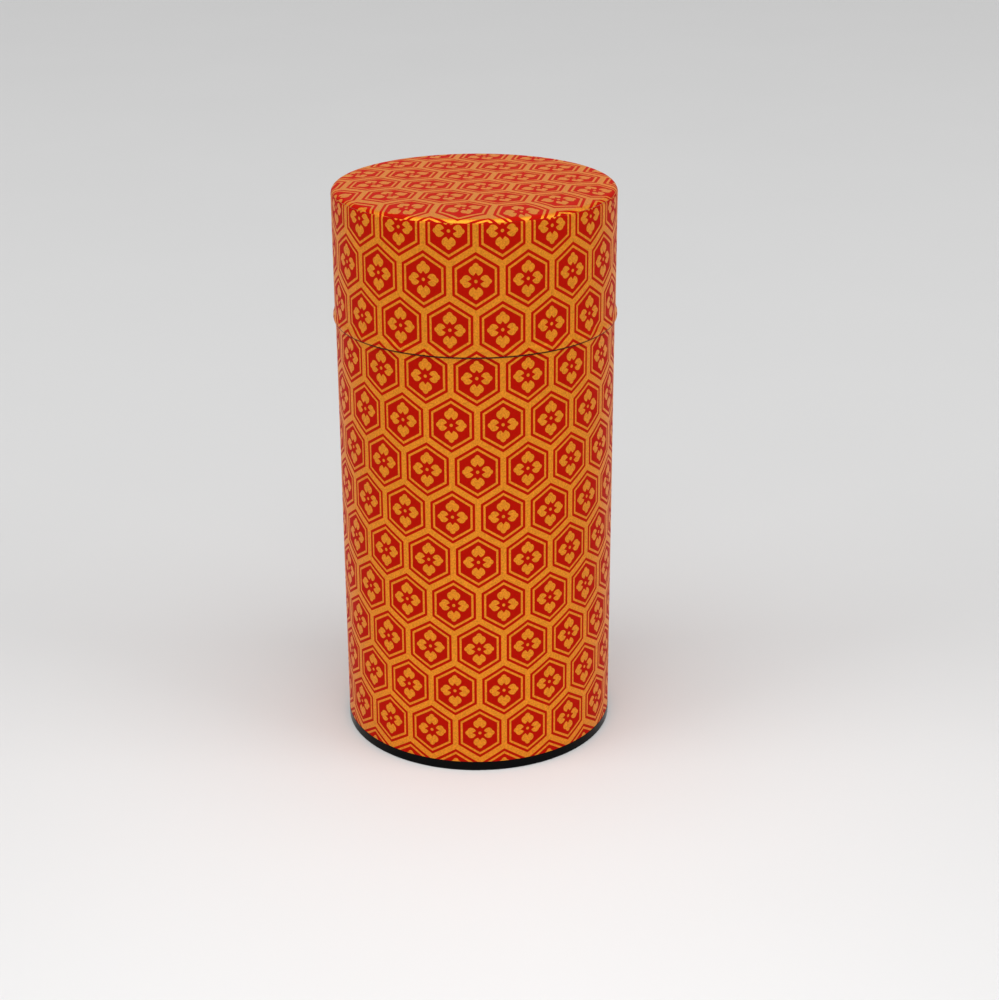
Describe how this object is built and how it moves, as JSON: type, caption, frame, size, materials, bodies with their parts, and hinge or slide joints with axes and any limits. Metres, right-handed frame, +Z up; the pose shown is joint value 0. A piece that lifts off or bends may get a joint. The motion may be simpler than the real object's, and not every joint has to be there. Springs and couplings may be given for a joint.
{
  "type": "tea caddy",
  "caption": "Cylindrical tin tea caddy covered with printed paper, on a black base, with a plug-in inner lid under a slip-over lid that keep loose tea dry.",
  "frame": {"origin": "centre of the base, on the surface that the caddy stands on", "axes": "+Z up along the caddy's axis; -Y towards the viewer of the picture; the laps of the paper wraps are at +Y"},
  "size_m": [0.0767, 0.0769, 0.1555],
  "materials": {
    "printed_paper": "satin",
    "tinplate": "satin",
    "bright_tin": "polished",
    "black_lacquer": "gloss"
  },
  "bodies": {
    "canister": {"base_plate": "black_lacquer", "body_tube": "tinplate", "body_paper": "printed_paper", "neck_collar": "tinplate"},
    "inner_lid": {"inner_lid_pan": "tinplate", "inner_lid_knob": "bright_tin", "knob_rivet": "bright_tin"},
    "lid": {"lid_tube": "tinplate", "lid_top": "tinplate", "lid_paper": "printed_paper", "lid_top_paper": "printed_paper"}
  },
  "joints": [
    {"name": "inner_lid_lift", "type": "slide", "parent": "canister", "child": "inner_lid", "axis": [0, 0, 1], "range_m": [0, 0.08]},
    {"name": "lid_lift", "type": "slide", "parent": "inner_lid", "child": "lid", "axis": [0, 0, 1], "range_m": [0, 0.06]}
  ]
}
